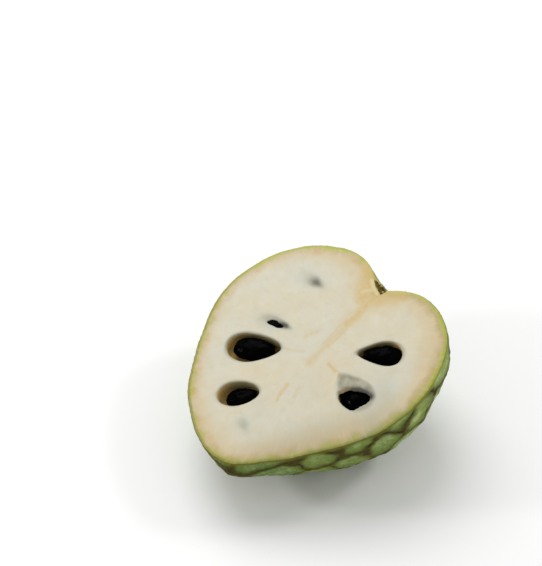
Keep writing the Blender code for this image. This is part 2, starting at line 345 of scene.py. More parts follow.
class Surface:
    """The points, faces and per-point values of one closed mesh."""

    def __init__(self):
        self.points = []
        self.values = []
        self.faces = []
        self.materials = []

    def add(self, points, **values):
        start = sum(len(p) for p in self.points)
        self.points.append(np.asarray(points, float))
        self.values.append(values)
        return np.arange(start, start + len(points))

    def add_faces(self, material, *corners):
        """Faces whose first, second and further corners are in these lists."""
        faces = np.stack(corners, 1).tolist()
        self.faces += faces
        self.materials += [material] * len(faces)

    def bridge(self, outer, inner, material):
        """Joins two rings. The inner one has as many points as the outer one, or half."""
        after = np.roll(inner, -1)
        if len(outer) == len(inner):
            self.add_faces(material, outer, np.roll(outer, -1), after, inner)
            return
        a, b, c = outer[::2], outer[1::2], np.roll(outer[::2], -1)
        for corners in ((a, b, inner), (b, after, inner), (b, c, after)):
            self.add_faces(material, *corners)

    def bridge_all(self, rings, material):
        for outer, inner in zip(rings, rings[1:]):
            self.bridge(outer, inner, material)

    def close(self, ring, point, material, **values):
        """Closes a ring with triangles to one point."""
        centre = self.add([point], **values)
        self.add_faces(material, ring, np.roll(ring, -1), np.repeat(centre, len(ring)))

    def value(self, name):
        return np.concatenate([np.broadcast_to(np.asarray(v.get(name, 0.0), float), len(p))
                               for p, v in zip(self.points, self.values)])

    def object(self, name, materials, extra=None):
        """The mesh as an object in the part's frame, with its values as attributes."""
        points = np.concatenate(self.points)
        mesh = bpy.data.meshes.new(name)
        turned = np.column_stack((points * MM, np.ones(len(points)))) @ np.array(FACE).T
        mesh.from_pydata(turned[:, :3].tolist(), [], self.faces)
        mesh.polygons.foreach_set("material_index", self.materials)
        names = {n for v in self.values for n in v}
        values = {n: self.value(n) for n in sorted(names)}
        values.update(extra or {})
        for n, value in values.items():
            mesh.attributes.new(n, "FLOAT", "POINT").data.foreach_set("value", value)
        bm = bmesh.new()
        bm.from_mesh(mesh)
        bmesh.ops.recalc_face_normals(bm, faces=bm.faces)
        bm.to_mesh(mesh)
        bm.free()
        mesh.shade_smooth()
        for material in materials:
            mesh.materials.append(material)
        return new_object(name, mesh)


# ---------------- the fruit's shape

FLESH, SKIN = 0, 1


def skin_rings(surface):
    """The skin from the rounded cut edge down to the pole. Returns the ring on the face."""
    level = polar((0, 0), 1, ring_angles(RIM_SEGMENTS))
    edge, _ = skin(level)
    below = np.arctan(RIM_ROUNDING / norm(edge, axis=1))
    dipped = level * np.cos(below)[:, None] - np.array((0, 0, 1)) * np.sin(below)[:, None]
    start, facts = skin(dipped)
    level_radius = np.hypot(start[:, 0], start[:, 1])
    rings = []
    for share in RIM_RINGS:
        t = share * pi / 2
        r = level_radius - RIM_ROUNDING * (1 - sin(t))
        ring = level * r[:, None]
        ring[:, 2] = start[:, 2] * (1 - cos(t))
        rings.append(surface.add(ring, **facts))
    rings.append(surface.add(start, **facts))
    surface.bridge(rings[0], rings[1], FLESH)
    surface.bridge_all(rings[1:], SKIN)

    previous, count = rings[-1], RIM_SEGMENTS
    steps = round(MEAN_RADIUS * pi / 2 / RING_SPACING)
    first = np.degrees(below.max()) / 90 + 0.5 / steps
    for k in range(steps):
        below = pi / 2 * (first + (1 - first) * k / steps)
        spacing = 2 * pi * MEAN_RADIUS * cos(below) / count
        if spacing < CLOSEST_SPACING * RING_SPACING and count > FEWEST_SEGMENTS:
            count //= 2
        toward = polar((0, 0), cos(below), ring_angles(count)) - (0, 0, sin(below))
        points, facts = skin(toward)
        ring = surface.add(points, **facts)
        surface.bridge(previous, ring, SKIN)
        previous = ring
    pole, facts = skin(np.array(((0.0, 0.0, -1.0),)))
    surface.close(previous, pole[0], SKIN, **{n: v[0] for n, v in facts.items()})
    return rings[0]


def uneven(angles, amount, seed):
    """A few slow swellings of an outline, so that no two pockets are alike."""
    rng = np.random.default_rng(seed)
    total = sum(height * np.sin(bumps * angles + rng.uniform(0, 2 * pi))
                for bumps, height in ((2, 0.6), (3, 0.5), (5, 0.25), (8, 0.12)))
    return 1 + amount * total


def pocket_outline(angles, place, turn, size, number):
    """A pocket's slightly uneven outline on the face."""
    shape = egg(size, angles) * uneven(angles, POCKET_UNEVENNESS, 20 + number)[:, None]
    return on_face(shape, place, turn)


def seen_from(middle, outline, angles):
    """Points of a closed outline in given directions from a middle inside it."""
    off = outline[:, :2] - middle
    way = np.mod(np.arctan2(off[:, 1], off[:, 0]), 2 * pi)
    order = np.argsort(way)
    far = np.interp(angles, way[order], np.hypot(*off.T)[order], period=2 * pi)
    return polar(middle, far, angles)


def pocket_rings(surface, number, name, place, turn, depth, size, open_pocket):
    """A pocket's wall and floor. Returns its ring on the face."""
    width, half = size[1], size[2] / 2
    angles = ring_angles(POCKET_SEGMENTS)
    middle = np.array((*place, 0.0))
    if open_pocket:
        start = middle
        outline = pocket_outline(angles, place, turn, size, number)
        levels = [(1 + 2 * wider / width, z) for wider, z in LIP]
        lip_end = LIP[-1][1]
        levels += [(1, lip_end - share * (depth + lip_end)) for share in WALL_RINGS]
    else:
        core, knots = OPENINGS[name]
        whole = pocket_outline(ring_angles(720), place, turn, size, number)
        outline = seen_from(core, whole, angles)
        far = closed_curve(knots, np.degrees(angles))
        far *= 1 + TORN_RAGGEDNESS * np.sin(13 * angles) * np.sin(7 * angles + 1)
        start = polar(core, far, angles)
        levels = list(TORN_EDGE)
        for a in FILM_RINGS:
            z = -FILM_THICKNESS - (depth - FILM_THICKNESS) * (1 - cos(radians(a)))
            levels.append((sin(radians(a)), z))
    rings = [start + (outline - start) * share + (0, 0, z) for share, z in levels]
    for a in FLOOR_RINGS:
        share = sin(radians(a))
        z = -depth - half * (1 - share**SEED_FULLNESS)**(1 / SEED_FULLNESS)
        rings.append(middle + (outline - middle) * share + (0, 0, z))
    blunt = smoothstep(np.cos(angles), 0.1, 0.85) if open_pocket else 0.0
    added = [surface.add(ring, lining=smoothstep(-ring[:, 2], 0.1, 0.8), blunt=blunt)
             for ring in rings]
    surface.bridge_all(added, FLESH)
    surface.close(added[-1], (*place, -depth - half), FLESH, lining=1.0)
    return added[0]


def face_points(rim, holes):
    """An even grid of points on the face, clear of its edge and of the pockets' edges."""
    rows = np.arange(-GRID_ACROSS, GRID_ACROSS, FACE_SPACING * 3**0.5 / 2)
    grid = np.array([(u + (j % 2) * FACE_SPACING / 2, v) for j, v in enumerate(rows)
                     for u in np.arange(-GRID_ALONG, GRID_ALONG, FACE_SPACING)])
    grid = grid[between(grid, rim, holes)]
    off_edges = distances(grid, np.concatenate([rim, *holes]))
    return grid[off_edges > FACE_CLEARANCE * FACE_SPACING]


def cut_face(surface, rim_ring, hole_rings):
    """Triangles of the flat face between the rim and the pockets."""
    points = np.concatenate(surface.points)
    loops = [points[ring][:, :2] for ring in (rim_ring, *hole_rings)]
    grid = face_points(loops[0], loops[1:])
    grid_ids = surface.add(np.column_stack((grid, np.zeros(len(grid)))))
    ids = np.concatenate((rim_ring, *hole_rings, grid_ids))
    flat = np.concatenate((*loops, grid))
    edges, start = [], 0
    for loop in loops:
        n = len(loop)
        edges += [(start + j, start + (j + 1) % n) for j in range(n)]
        start += n
    found = geometry.delaunay_2d_cdt([Vector(p) for p in flat], edges, [], 0, 1e-5)
    triangles, origin = np.array(found[2]), found[3]
    back = np.array([o[0] for o in origin])
    middles = flat[back[triangles]].mean(axis=1)
    keep = between(middles, loops[0], loops[1:])
    surface.add_faces(FLESH, *ids[back[triangles[keep]]].T)


# Tan strands, each a route over the face, a half width and a strength: the core, the flesh round
# the stem, and short fibres that run to the seeds.
STRANDS = (
    (((40, -0.8), (33, -0.9), (26, -0.7), (18, -0.5)), 2.3, 0.95),
    (((18, -0.5), (10, -0.2), (3, 0.1), (-4, 0.1)), 2.3, 0.6),
    (((38, -1.0), (30, -0.5), (20, 0.5)), 8.0, 0.4),
    (((31, 1.3), (22, 1.4), (14, 1.3), (6, 1.4)), 0.9, 0.6),
    (((32, -2.4), (24, -1.9), (17, -1.9), (8, -1.4)), 0.9, 0.7),
    (((-4, 0.1), (-10, 0.2), (-18, -0.8), (-26, -0.4), (-36, 0.4)), 1.4, 0.2),
    (((44, 11.5), (40.5, 7.5), (35.5, 4.4), (30.5, 1.8)), 4.2, 0.9),
    (((42.5, -9), (38.5, -5), (34, -2.2)), 4.0, 0.85),
    (((39, 22), (35, 17), (33, 9), (28, 4.5), (20, 4.5)), 5.0, 0.3),
    (((3.4, 9.4), (5.6, 8.5), (8.4, 7.0)), 1.0, 0.6),
    (((-5.2, 12.6), (-3.8, 8.7), (-1.4, 5.2)), 0.9, 0.5),
    (((-16.4, 0.5), (-20.8, 0.0), (-24.4, -1.0)), 1.1, 0.75),
    (((-14.0, -3.9), (-16.3, -4.4), (-19.2, -5.4)), 1.0, 0.5),
    (((0.4, -6.4), (-0.2, -10.1), (-0.4, -13.4)), 0.85, 0.9),
    (((12, -3), (14, -7), (12.6, -11)), 0.7, 0.2),
    (((-8, 5), (-17, 8), (-24, 9.6)), 0.7, 0.15),
)
# Paler strands: under the stem, beside the torn pocket, and a few short ones.
PALE_STRANDS = (
    (((39.6, 5.2), (37.6, 2.2), (36.4, -0.8)), 0.9, 0.9),
    (((36.8, 1.2), (35.0, 3.6), (33.2, 4.6)), 1.1, 0.6),
    (((-0.4, -11.6), (-2.6, -13.0), (-5.4, -13.8)), 0.8, 0.8),
    (((-5.4, -13.8), (-7.6, -15.6), (-9.0, -18.4)), 0.8, 0.4),
    (((-22.4, -15.4), (-26.8, -11.6)), 0.9, 0.5),
    (((5.4, -4.0), (1.6, -5.4)), 0.8, 0.5),
    (((22, 4.0), (12, 4.6), (2, 4.2)), 0.9, 0.25),
)

# Dark where the film over a seed is thinnest, and a brown spot beside the torn pocket.
THIN_FILM = (
    (((-2.4, -21.8), (-0.7, -23.6), (0.0, -26.4), (-0.2, -29.0)), 2.2, 1.0),
    (((1.9, 20.9), (2.6, 19.2)), 1.1, 0.7),
)
BROWN_SPOTS = ((((-6.0, -18.9), (-3.4, -20.0)), 1.6, 1.0),)


def strand_field(points, strands, seed):
    """How strongly each point of the face shows the strands, from 0 to 1."""
    total = np.zeros(len(points))
    for route, width, strength in strands:
        best = np.full(len(points), 1e9)
        for a, b in zip(route, route[1:]):
            a, b = np.array(a, float), np.array(b, float)
            t = np.clip(((points - a) @ (b - a)) / ((b - a) @ (b - a)), 0, 1)
            best = np.minimum(best, norm(points - a - t[:, None] * (b - a), axis=1))
        wide = width * (1 + 0.15 * waves(points, 10, seed))
        total = np.maximum(total, strength * np.exp(-(best / wide)**2))
    return total


# Shadows in the flesh, as of seeds that lie just under the face, and in the last three, broad ones,
# painted shade over the lower part of the face: place, turn, size, strength. A negative strength
# is a paler patch.
SHADOW_TAPER = 0.42
SHADOW_FADING = 1.3
SHADOWS = (
    ((24.9, 25), 95, (17, 9.5), 0.42),
    ((25.1, 22.5), 90, (6.6, 5), 0.75),
    ((-40.3, 2.2), 70, (10, 7), 0.5),
    ((26.5, -8.6), 60, (7, 5.5), -0.3),
    ((-29.5, 4), 40, (16, 9), 0.16),
    ((0.8, 28), 110, (11, 7), 0.2),
    ((2.3, 19.7), 102, (6.6, 3.4), 1),
    ((1.6, 23.2), 107, (11, 6), 0.4),
    # Painted shade: broad darkening of the lower part of the face.
    ((6, -34), 80, (34, 16), 0.16),
    ((-5, -36), 20, (34, 15), 0.26),
    ((-34, -20), -45, (52, 22), 0.14),
)

# Grey round each pocket, where the flesh over it is thin: the share of the pocket's outline at
# which it starts to fade, how far it fades, and its strength.
POCKET_SHADE = {
    "seed_left_large": (1.06, 0.09, 0.5),
    "seed_left_sliver": (0.62, 0.5, 0.2),
    "seed_left_lower": (1.07, 0.09, 0.45),
    "seed_right_upper": (1.07, 0.09, 0.5),
    "seed_right_lower": (0.96, 0.12, 0.4),
}

# The pocket with a torn film over it, and the shares of its outline where the film starts to
# fade and has ended.
TORN_POCKET, FILM_FADES, FILM_ENDS = "seed_right_lower", 0.8, 1.05

# Relief of the cut face: soft waves, ridges along pale strands, grooves along tan ones, and the
# sunken, wavy film. It is full from RELIEF_START off the cut edge, and ends at RELIEF_DEPTH in a
# pocket.
FACE_WAVES = ((0.05, 18, 51), (0.012, 5, 52))
PALE_RIDGE, TAN_GROOVE = 0.12, 0.08
FILM_SINK, FILM_WAVES, FILM_WAVE_SIZE = 0.22, 0.05, 4.5
RELIEF_START, RELIEF_DEPTH = 3.0, 0.4


def face_values(points, rim):
    """What the flesh's material needs to know at each point: the distance from the cut edge,
    strands, grey shadows of seeds and painted shade, and the thin film over the torn pocket."""
    flat = points[:, :2]
    shade = np.zeros(len(flat))
    for place, turn, size, strength in SHADOWS:
        share = egg_share(flat, place, turn, size, SHADOW_TAPER)
        shade += strength * np.exp(-share**2 * SHADOW_FADING)
    for name, (place, turn, _, size, _) in POCKETS.items():
        share = egg_share(flat, place, turn, size, size[3])
        start, spread, weight = POCKET_SHADE[name]
        shade += weight * np.exp(-np.clip((share - start) / spread, 0, None)**2)
        if name == TORN_POCKET:
            film = 1 - smoothstep(share, FILM_FADES, FILM_ENDS)
    return {"edge": distances(flat, rim), "strand": strand_field(flat, STRANDS, 41),
            "pale_strand": strand_field(flat, PALE_STRANDS, 42),
            "thin": strand_field(flat, THIN_FILM, 43),
            "spot": strand_field(flat, BROWN_SPOTS, 44),
            "shade": np.clip(shade, -1, 1), "film": film}


def cut_relief(points, values):
    """Height of the cut face over a flat one: soft waves, strands and the sunken film."""
    flat = points[:, :2]
    height = relief(flat, FACE_WAVES)
    height += PALE_RIDGE * values["pale_strand"] - TAN_GROOVE * values["strand"]
    height -= values["film"] * (FILM_SINK + FILM_WAVES * waves(flat, FILM_WAVE_SIZE, 54))
    inward = smoothstep(values["edge"], 0.0, RELIEF_START)
    return height * inward * np.clip(1 + points[:, 2] / RELIEF_DEPTH, 0, 1)


def make_fruit(materials):
    surface = Surface()
    rim_ring = skin_rings(surface)
    hole_rings = [pocket_rings(surface, k, name, *facts)
                  for k, (name, facts) in enumerate(POCKETS.items())]
    cut_face(surface, rim_ring, hole_rings)
    points = np.concatenate(surface.points)
    rim = points[rim_ring][:, :2]
    on_top = points[:, 2] > -FACE_DEPTH
    values = {}
    for name, value in face_values(points[on_top], rim).items():
        values[name] = np.zeros(len(points))
        values[name][on_top] = value
    raised = cut_relief(points, values)
    offset = 0
    for chunk in surface.points:
        chunk[:, 2] += raised[offset:offset + len(chunk)]
        offset += len(chunk)
    return surface.object("cut_fruit", materials, values)


# ---------------- seeds and stem stub

def make_seed(name, number, place, turn, depth, size, material):
    """A smooth, slightly wrinkled seed with a fine seam round it and a pale scar at its point."""
    length, width, thickness, _ = size
    angles = ring_angles(SEED_SEGMENTS)
    shape = egg(size, angles) * uneven(angles, SEED_UNEVENNESS, 60 + number)[:, None]
    twist_height = TWIST_HEIGHT if width > TWISTED_FROM else 0
    surface = Surface()
    rings = []
    for a in np.linspace(-SEED_POLE, SEED_POLE, SEED_RINGS):
        share = cos(radians(a))**SEED_SHOULDERS
        tall = (1 - share**SEED_FULLNESS)**(1 / SEED_FULLNESS) * np.sign(a)
        flat = shape * share
        ring = on_face(flat, place, turn, -depth + tall * thickness / 2)
        lean = flat[:, 0] / length
        ring[:, 2] += twist_height * np.sin(TWIST_PACE * lean + number) * share
        out = ring - np.array((*place, -depth))
        out /= np.maximum(norm(out, axis=1, keepdims=True), 1e-6)
        seam = SEAM_HEIGHT * np.exp(-(a / SEAM_SPREAD)**2)
        ring += out * (relief(ring, WRINKLES, number) + seam)[:, None]
        scar = np.exp(-((flat[:, 0] + length / 2) / SCAR_LENGTH)**2)
        rings.append(surface.add(ring, scar=scar))
    surface.bridge_all(rings, 0)
    surface.close(rings[0], (*place, -depth - thickness / 2), 0)
    surface.close(rings[-1], (*place, -depth + thickness / 2), 0)
    return surface.object("glossy_" + name, [material])


def tube(surface, route, radius, sides=7):
    """A closed, tapering fibre along a few points."""
    route = np.asarray(route, float)
    previous = None
    for k, point in enumerate(route):
        ahead = route[min(k + 1, len(route) - 1)] - route[max(k - 1, 0)]
        ahead /= norm(ahead)
        across = np.cross(ahead, (0.3, 0.9, 0.2))
        across /= norm(across)
        other = np.cross(ahead, across)
        r = radius * (1 - FIBRE_TAPER * k / (len(route) - 1))
        a = ring_angles(sides)
        ring = surface.add(point + r * (np.cos(a)[:, None] * across + np.sin(a)[:, None] * other),
                           pale=1.0)
        if previous is None:
            surface.close(ring, point - ahead * r * 0.5, 0, pale=1.0)
        else:
            surface.bridge(previous, ring, 0)
        previous = ring
    surface.close(previous, route[-1] + ahead * r * 0.5, 0, pale=1.0)


def make_stub(material):
    """The cut, corky end of the stem: bark outside, a crumbled crater and a few fibres."""
    surface = Surface()
    sweep = np.linspace(pi, 2 * pi, ARC_POINTS)
    lean = radians(STUB_LEAN)
    axis = np.array((cos(lean), sin(lean), 0.0))
    across = np.array((-sin(lean), cos(lean), 0.0))
    w_axis = np.array((0.0, 0.0, 1.0))
    middle = np.array((*STUB_PLACE, 0.0))
    half = STUB_THICKNESS / 2

    def outward(offset, height):
        """How far out of the seat a height of the profile lies: the stub is a wedge, thinner on
        its positive side."""
        slim = STUB_MEAN - STUB_SLIMMING * (offset @ across) / STUB_RADIUS
        slim = np.clip(slim, STUB_SLIMMEST, 1.0)
        return (height + half) * slim - half

    def ring_at(share, height):
        """A half ring closed along the cut plane, so that all rings match."""
        r = STUB_RADIUS * share * (1 + 0.05 * np.sin(5 * sweep) + 0.03 * np.sin(11 * sweep + 1))
        arc = np.outer(r * np.cos(sweep), across) + np.outer(r * np.sin(sweep), w_axis)
        back = np.linspace(arc[-1], arc[0], FLAT_POINTS)[1:-1]
        offset = np.concatenate((arc, back))
        loop = offset + middle + np.outer(outward(offset, height), axis)
        return loop + np.outer(relief(loop, CORK) * smoothstep(share, 0, 0.3), axis)

    # From the back over the bark and its rim into the crater: shares of the radius, and heights.
    crater = half - 0.7
    profile = ((0.5, -half), (0.85, -half), (0.98, -half + 0.2), (1.0, -half + 0.6), (0.96, 0.0),
               (1.0, half - 0.5), (0.97, half - 0.15), (0.88, half), (0.74, half - 0.1),
               (0.6, half - 0.5), (0.45, half - 0.75), (0.25, crater))
    rings = []
    for share, height in profile:
        points = ring_at(share, height)
        rings.append(surface.add(points, pale=0.15 * smoothstep(height, half - 0.6, half)))
    surface.bridge_all(rings, 0)
    for ring, height in ((rings[0], -half), (rings[-1], crater)):
        surface.close(ring, middle + axis * outward(np.zeros(3), height) + w_axis * -0.4, 0)
    rng = np.random.default_rng(95)
    for _ in range(FIBRES):
        base = across * rng.uniform(*FIBRES_ACROSS) - w_axis * rng.uniform(*FIBRES_UNDER)
        base = middle + base + axis * outward(base, half - 0.8)
        bend = rng.normal(size=3) * FIBRE_BEND
        steps = np.linspace(0, 1, 6)[:, None]
        reach = rng.uniform(*FIBRE_REACH)
        route = base + steps * reach * axis + steps**2 * bend
        route[:, 2] = np.minimum(route[:, 2], -0.15)
        tube(surface, route, rng.uniform(*FIBRE_RADIUS))
    return surface.object("corky_stem_stub", [material])


# ---------------- materials

# Tones are 8-bit screen colours. These are the flesh's: its ground, towards the skin, the line of
# the rim, strands and fibres, shadows, the torn film, and the pockets' walls.
CREAM = (206, 202, 184)
WARM_CREAM = (208, 199, 174)
BUFF = (199, 187, 155)
MILKY = (212, 210, 192)
PEACH = (203, 183, 140)
# Painted shade for the lower side of the face.
LOWER_SHADE_TAN = (178, 160, 120)
BLUSH = (208, 164, 122)
EDGE_BROWN = (166, 148, 78)
RIM_PALE, RIM_DEEP = (176, 170, 88), (142, 142, 44)
RIM_PATCH = (174, 168, 46)
RIM_LOBE = (174, 182, 72)
LINE_OLIVE, LINE_GREEN = (126, 128, 38), (158, 166, 58)
STRAND_TAN = (202, 176, 116)
STRAND_PALE = (216, 200, 162)
FIBRE_DARK, FIBRE_PALE = (200, 190, 158), (214, 208, 186)
SHADOW_BLUE, SHADOW_GREY, SHADOW_DARK = (164, 182, 178), (104, 110, 98), (72, 78, 68)
SHADOW_NONE = (214, 216, 204)
FILM_PALE, FILM_DARK = (172, 167, 146), (140, 137, 114)
FILM_THINNEST = (54, 54, 42)
SPOT_BROWN = (112, 92, 46)
WALL_TONE, WALL_BLUNT, WALL_STAIN = (172, 158, 112), (210, 180, 112), (140, 122, 74)

# The skin's: its pads, what lies between them, stains, and the hollow round the stem.
PAD_GREEN, PAD_YELLOW = (110, 138, 58), (146, 164, 68)
PAD_BLOOM = (196, 210, 136)
# Painted shade for the pads at the tip's end.
PAD_TIP_SHADE = (84, 108, 56)
PAD_FLECK = (190, 204, 130)
PAD_PATCH = (94, 118, 38)
PAD_RIM = (96, 116, 30)
GROOVE_OLIVE, GROOVE_BROWN, GROOVE_LINE = (88, 88, 16), (64, 54, 12), (44, 33, 8)
SKIN_TAN = (166, 148, 84)
THIN_OLIVE, THIN_GREEN = (112, 110, 34), (140, 146, 56)
VEIN = (90, 106, 40)
SPECK = (100, 92, 36)
STREAK_DARK, STREAK_PALE = (118, 134, 66), (178, 196, 140)
# Painted light for the rim of the hollow.
HOLLOW_LIP_LIGHT = (188, 190, 96)
CORK_TAN, CORK_BROWN = (186, 160, 96), (104, 80, 34)

# The seeds', the stub's and the floor's.
SEED_BLACK, SEED_SHEEN, SEED_SCAR = (1, 1, 2), (6, 5, 4), (96, 76, 44)
BARK, BARK_DARK, BARK_PALE = (116, 92, 38), (62, 46, 14), (196, 166, 110)
FLOOR_PALE, FLOOR_DARK = (250, 250, 250), (248, 248, 248)


def linear(tone):
    """A tone as the linear colour that a shader takes."""
    shares = [c / 255 for c in tone]
    return (*(c / 12.92 if c <= 0.04045 else ((c + 0.055) / 1.055)**2.4 for c in shares), 1.0)


class Shade:
    """Short names for building one material's nodes. Lengths are in millimetres, and a value is
    another node's socket or a constant."""

    def __init__(self, name, **inputs):
        self.material = bpy.data.materials.new(name)
        self.material.use_nodes = True
        self.tree = self.material.node_tree
        self.shader = self.tree.nodes["Principled BSDF"]
        for key, value in inputs.items():
            self.shader.inputs[key.replace("_", " ")].default_value = value
        place = self.node("ShaderNodeTexCoord").outputs["Object"]
        self.position = self.result("ShaderNodeMapping", place, FACE.translation,
                                    FACE.to_euler(), (MM, MM, MM), vector_type="TEXTURE")
        self.along, self.side, self.depth = self.node("ShaderNodeSeparateXYZ",
                                                      self.position).outputs

    def link(self, value, socket):
        if isinstance(value, bpy.types.NodeSocket):
            self.tree.links.new(value, socket)
        else:
            socket.default_value = linear(value) if socket.type == "RGBA" else value

    def node(self, kind, *inputs, **settings):
        """A new node with these settings, and with values for its inputs in use, in their order."""
        made = self.tree.nodes.new(kind)
        for key, value in settings.items():
            setattr(made, key, value)
        for value, socket in zip(inputs, [i for i in made.inputs if i.enabled]):
            self.link(value, socket)
        return made

    def result(self, kind, *inputs, **settings):
        return next(o for o in self.node(kind, *inputs, **settings).outputs if o.enabled)

    def attribute(self, name):
        return self.node("ShaderNodeAttribute", attribute_name=name).outputs["Fac"]

    def math(self, operation, *inputs):
        return self.result("ShaderNodeMath", *inputs, operation=operation)

    def vector(self, operation, *inputs):
        return self.result("ShaderNodeVectorMath", *inputs, operation=operation)

    def times(self, a, b):
        return self.math("MULTIPLY", a, b)

    def plus(self, a, b):
        return self.math("ADD", a, b)

    def step(self, value, low, high, at_high=1.0, at_low=0.0):
        """A smooth step from at_low, where the value is low, to at_high, where it is high."""
        return self.result("ShaderNodeMapRange", value, low, high, at_low, at_high,
                           interpolation_type="SMOOTHSTEP")

    def noise(self, size, detail=3, roughness=0.6, vector=None):
        return self.result("ShaderNodeTexNoise", vector or self.position, 1 / size, detail,
                           roughness)

    def radiating(self, middle, fineness, length):
        """A vector in which a noise of size 1 runs out in fibres from a point of the face."""
        off = self.vector("MULTIPLY_ADD", self.position, (1, 1, 0), (-middle[0], -middle[1], 0))
        wide = self.vector("SCALE", self.vector("NORMALIZE", off), fineness)
        far = self.math("DIVIDE", self.vector("LENGTH", off), length)
        return self.vector("ADD", wide, self.result("ShaderNodeCombineXYZ", 0, 0, far))

    def mix(self, share, a, b):
        """Tone a where the share is 0, tone b where it is 1."""
        return self.result("ShaderNodeMix", share, a, b, data_type="RGBA")

    def paint(self, share, tone):
        """Lays a tone over the material's colour so far."""
        self.base = self.mix(share, self.base, tone)

    def bump(self, height, distance, strength, normal=None):
        made = self.node("ShaderNodeBump")
        made.inputs["Strength"].default_value = strength
        made.inputs["Distance"].default_value = distance * MM
        self.link(height, made.inputs["Height"])
        if normal:
            self.link(normal, made.inputs["Normal"])
        return made.outputs["Normal"]

    def finish(self, roughness=None, normal=None):
        for value, name in ((self.base, "Base Color"), (roughness, "Roughness"),
                            (normal, "Normal")):
            if value is not None:
                self.link(value, self.shader.inputs[name])
        return self.material


def flesh_material():
    s = Shade("custard_flesh", Subsurface_Weight=0.35, Subsurface_Scale=0.0022,
              Subsurface_Radius=(1, 0.75, 0.45), Specular_IOR_Level=0.3)
    edge, shade = s.attribute("edge"), s.attribute("shade")
    s.base = s.mix(s.step(s.noise(22, 3, 0.55), 0.35, 0.65), CREAM, WARM_CREAM)
    s.paint(s.step(s.noise(4.5, 4, 0.6), 0.45, 0.75, 0.4), BUFF)
    s.paint(s.step(s.noise(6, 4, 0.65), 0.5, 0.7, 0.4), MILKY)
    # Towards the skin the flesh turns tan and peach. That reaches further in near the stem, at
    # the tip and along one side.
    off_edge = s.plus(edge, s.math("MULTIPLY_ADD", s.noise(7), 5, -2.5))
    for place, low, high, shift in ((s.along, 10, 34, -2.5), (s.side, -16, -36, -2.5),
                                    (s.side, 12, 32, 2.5), (s.along, -16, -40, -1.5)):
        off_edge = s.plus(off_edge, s.step(place, low, high, shift))
    s.paint(s.step(off_edge, 10, 0.5, 0.72), PEACH)
    # Painted shade: the flesh of the lower side towards the tip is darkened, where the light falls
    # off.
    lower = s.times(s.step(s.along, 10, -12), s.step(s.side, 4, -20))
    s.paint(s.times(lower, s.step(edge, 18, 3, 0.62, 0.08)), LOWER_SHADE_TAN)
    patches = s.step(s.noise(5), 0.5, 0.62)
    s.paint(s.times(s.step(edge, 5.5, 2, 0.4), patches), BLUSH)
    near_edge = s.plus(s.math("MULTIPLY_ADD", s.noise(5.5, 2, 0.4), 5.6, -2.7), edge)
    browner = s.step(s.side, 28, -22, 0.72, 0.3)
    s.paint(s.times(s.step(near_edge, 5, 0.4), browner), EDGE_BROWN)
    # The green line of the rim is brightest on the two lobes at the stem end.
    on_lobes = s.step(s.along, -12, 30)
    olive = s.mix(s.step(s.side, 14, -18), RIM_PALE, RIM_DEEP)
    olive = s.mix(s.step(s.noise(9, 2, 0.5), 0.42, 0.58, 0.6), olive, RIM_PATCH)
    near_line = s.plus(near_edge, s.times(on_lobes, 0.5))
    s.paint(s.step(near_line, 2.3, 0.4, 0.8), s.mix(on_lobes, olive, RIM_LOBE))
    s.paint(s.step(edge, 0.9, 0.1, 0.7), s.mix(on_lobes, LINE_OLIVE, LINE_GREEN))
    # Tan strands with a broken look.
    strand = s.step(s.attribute("strand"), 0.05, 1, 0.85)
    s.paint(s.times(strand, s.step(s.noise(1.6), 0.3, 0.6, 1, 0.65)), STRAND_TAN)
    # Fine fibres that run out from the core.
    fibres = s.noise(1, 4, 0.6, s.radiating((2, 0), 22, 9))
    s.paint(s.step(fibres, 0.5, 0.72, 0.24), FIBRE_DARK)
    s.paint(s.step(fibres, 0.5, 0.3, 0.16), FIBRE_PALE)
    # Seeds and hollows under thin flesh show as grey, and the lower part of the face has painted
    # shade; a negative shade is paler.
    shadow = s.mix(s.step(shade, 0.12, 0.6), SHADOW_BLUE, SHADOW_GREY)
    s.paint(s.times(shade, 0.8), s.mix(s.step(shade, 0.7, 1), shadow, SHADOW_DARK))
    s.paint(s.step(shade, 0, -0.4, 0.5), SHADOW_NONE)
    # The film over the torn pocket, the spot beside it and the pale strands.
    film = s.mix(s.step(s.noise(4.5, 3, 0.5), 0.35, 0.65), FILM_PALE, FILM_DARK)
    s.paint(s.times(s.attribute("film"), 0.9), film)
    s.paint(s.step(s.attribute("thin"), 0.1, 0.9, 0.95), FILM_THINNEST)
    s.paint(s.step(s.attribute("spot"), 0.1, 0.9, 0.85), SPOT_BROWN)
    s.paint(s.step(s.attribute("pale_strand"), 0.15, 0.8, 0.7), STRAND_PALE)
    # The pockets' walls.
    wall = s.mix(s.attribute("blunt"), WALL_TONE, WALL_BLUNT)
    wall = s.mix(s.step(s.noise(2.4), 0.4, 0.7, 0.4), wall, WALL_STAIN)
    s.paint(s.attribute("lining"), wall)
    roughness = s.step(s.noise(2.2), 0.3, 0.7, 0.56, 0.42)
    return s.finish(roughness, s.bump(s.noise(0.8), 0.05, 0.25))


